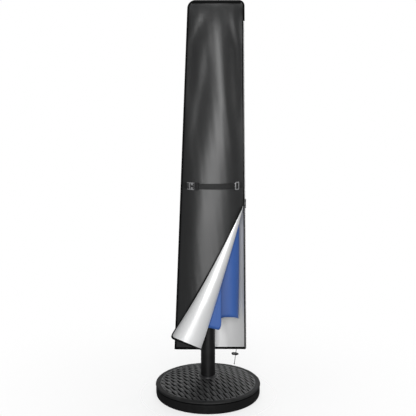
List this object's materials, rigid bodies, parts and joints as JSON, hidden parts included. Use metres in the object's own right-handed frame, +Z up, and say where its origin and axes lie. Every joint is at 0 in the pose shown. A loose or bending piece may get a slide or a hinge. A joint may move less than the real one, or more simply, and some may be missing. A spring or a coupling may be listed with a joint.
{
  "type": "patio umbrella with zipped cover on a round base",
  "caption": "Closed patio umbrella under a zipped weather cover with a folded-back corner, standing in a round weighted base with a clamped upright tube.",
  "frame": {"origin": "centre of the base's underside", "axes": "+Z up along the pole; -Y is the cover's front, where the corner is folded back; +X is the cover's zip side"},
  "size_m": [0.5, 0.5, 1.833],
  "materials": {
    "base_resin": "satin",
    "concrete": "matte",
    "steel_black": "satin",
    "zinc": "satin",
    "plastic_black": "matte",
    "pole_metal": "satin",
    "rib_metal": "satin",
    "bare_metal": "satin",
    "canopy_cloth": "matte",
    "cover_cloth": "matte",
    "binding": "matte",
    "webbing": "matte",
    "buckle_grey": "satin",
    "slide_metal": "satin",
    "zip_metal": "satin",
    "cord_black": "matte"
  },
  "bodies": {
    "base": {"base_shell": "base_resin", "ballast": "concrete", "bottom_plate": "plastic_black", "plate_screws": "zinc", "tube_flange": "steel_black", "flange_bolts": "zinc", "upright_tube": "steel_black", "hub_ring": "plastic_black", "clamp_boss": "steel_black"},
    "sleeves": {"upper_sleeve": "plastic_black", "lower_sleeve": "plastic_black"},
    "clamp_screw": {"clamp_stem": "zinc"},
    "clamp_grip": {"clamp_knob": "plastic_black"},
    "umbrella": {"pole_foot": "plastic_black", "lower_pole": "pole_metal", "pole_joint": "bare_metal", "upper_pole": "pole_metal", "runner": "plastic_black", "top_hub": "plastic_black", "hinge_pins": "zinc", "finial": "plastic_black", "strut_rivets": "zinc", "rib_tips": "plastic_black", "stop_pin": "zinc", "canopy": "canopy_cloth", "vent_cap": "canopy_cloth", "tie_strap": "canopy_cloth", "rib_1": "rib_metal", "rib_2": "rib_metal", "rib_3": "rib_metal", "rib_4": "rib_metal", "rib_5": "rib_metal", "rib_6": "rib_metal", "rib_7": "rib_metal", "rib_8": "rib_metal", "strut_1": "rib_metal", "strut_2": "rib_metal", "strut_3": "rib_metal", "strut_4": "rib_metal", "strut_5": "rib_metal", "strut_6": "rib_metal", "strut_7": "rib_metal", "strut_8": "rib_metal"},
    "cover": {"cover_front": "cover_cloth", "cover_back": "cover_cloth", "cover_piping": "binding", "zip_tape": "binding", "strap": "webbing", "strap_tabs": "webbing", "buckle_socket": "buckle_grey", "strap_slide": "slide_metal", "hem_eyelet": "zip_metal", "drawcord": "cord_black", "cord_knot": "cord_black"},
    "flap": {"front_flap": "cover_cloth"},
    "plug": {"buckle_plug": "plastic_black"},
    "slider": {"zip_slider": "zip_metal"},
    "pull": {"zip_pull": "zip_metal"},
    "lock": {"cord_lock": "plastic_black"},
    "button": {"lock_button": "plastic_black"}
  },
  "joints": [
    {"name": "umbrella_swivel", "type": "hinge", "parent": "base", "child": "sleeves", "pos_m": [0, 0, 0.2], "axis": [0, 0, 1], "continuous": true},
    {"name": "umbrella_lift", "type": "slide", "parent": "sleeves", "child": "umbrella", "axis": [0, 0, 1], "range_m": [0, 0.4]},
    {"name": "clamp_feed", "type": "slide", "parent": "base", "child": "clamp_screw", "axis": [0, 1, 0], "range_m": [0, 0.006]},
    {"name": "clamp_turn", "type": "hinge", "parent": "clamp_screw", "child": "clamp_grip", "pos_m": [0, 0.06, 0.152], "axis": [0, 1, 0], "range_deg": [0, 1440]},
    {"name": "cover_lift", "type": "slide", "parent": "umbrella", "child": "cover", "axis": [0, 0, 1], "range_m": [0, 1.62]},
    {"name": "flap_fold", "type": "hinge", "parent": "cover", "child": "flap", "pos_m": [-0.0304, -0.0876, 0.2506], "axis": [0.2818, 0.124, 0.9514], "range_deg": [0, 60]},
    {"name": "zip_slide", "type": "slide", "parent": "cover", "child": "slider", "axis": [-0.0143, 0, 0.9999], "range_m": [0, 0.78]},
    {"name": "pull_swing", "type": "hinge", "parent": "slider", "child": "pull", "pos_m": [0.17075, -0.0072, 0.93504], "axis": [0.9999, 0, 0.0143], "range_deg": [-80, 0]},
    {"name": "buckle_release", "type": "slide", "parent": "cover", "child": "plug", "axis": [0.873, -0.4877, 0], "range_m": [0, 0.018], "deforming": ["strap"]},
    {"name": "cord_lock_slide", "type": "slide", "parent": "cover", "child": "lock", "axis": [0.1045, 0, 0.9945], "range_m": [-0.01, 0.012]},
    {"name": "button_press", "type": "slide", "parent": "lock", "child": "button", "axis": [-0.9945, 0, 0.1045], "range_m": [0, 0.0028], "stiffness_N_per_m": 500, "springref_m": -0.001}
  ],
  "couplings": [
    {"joint": "clamp_feed", "follows": "clamp_turn", "m_per_rad": 0.00023873}
  ]
}
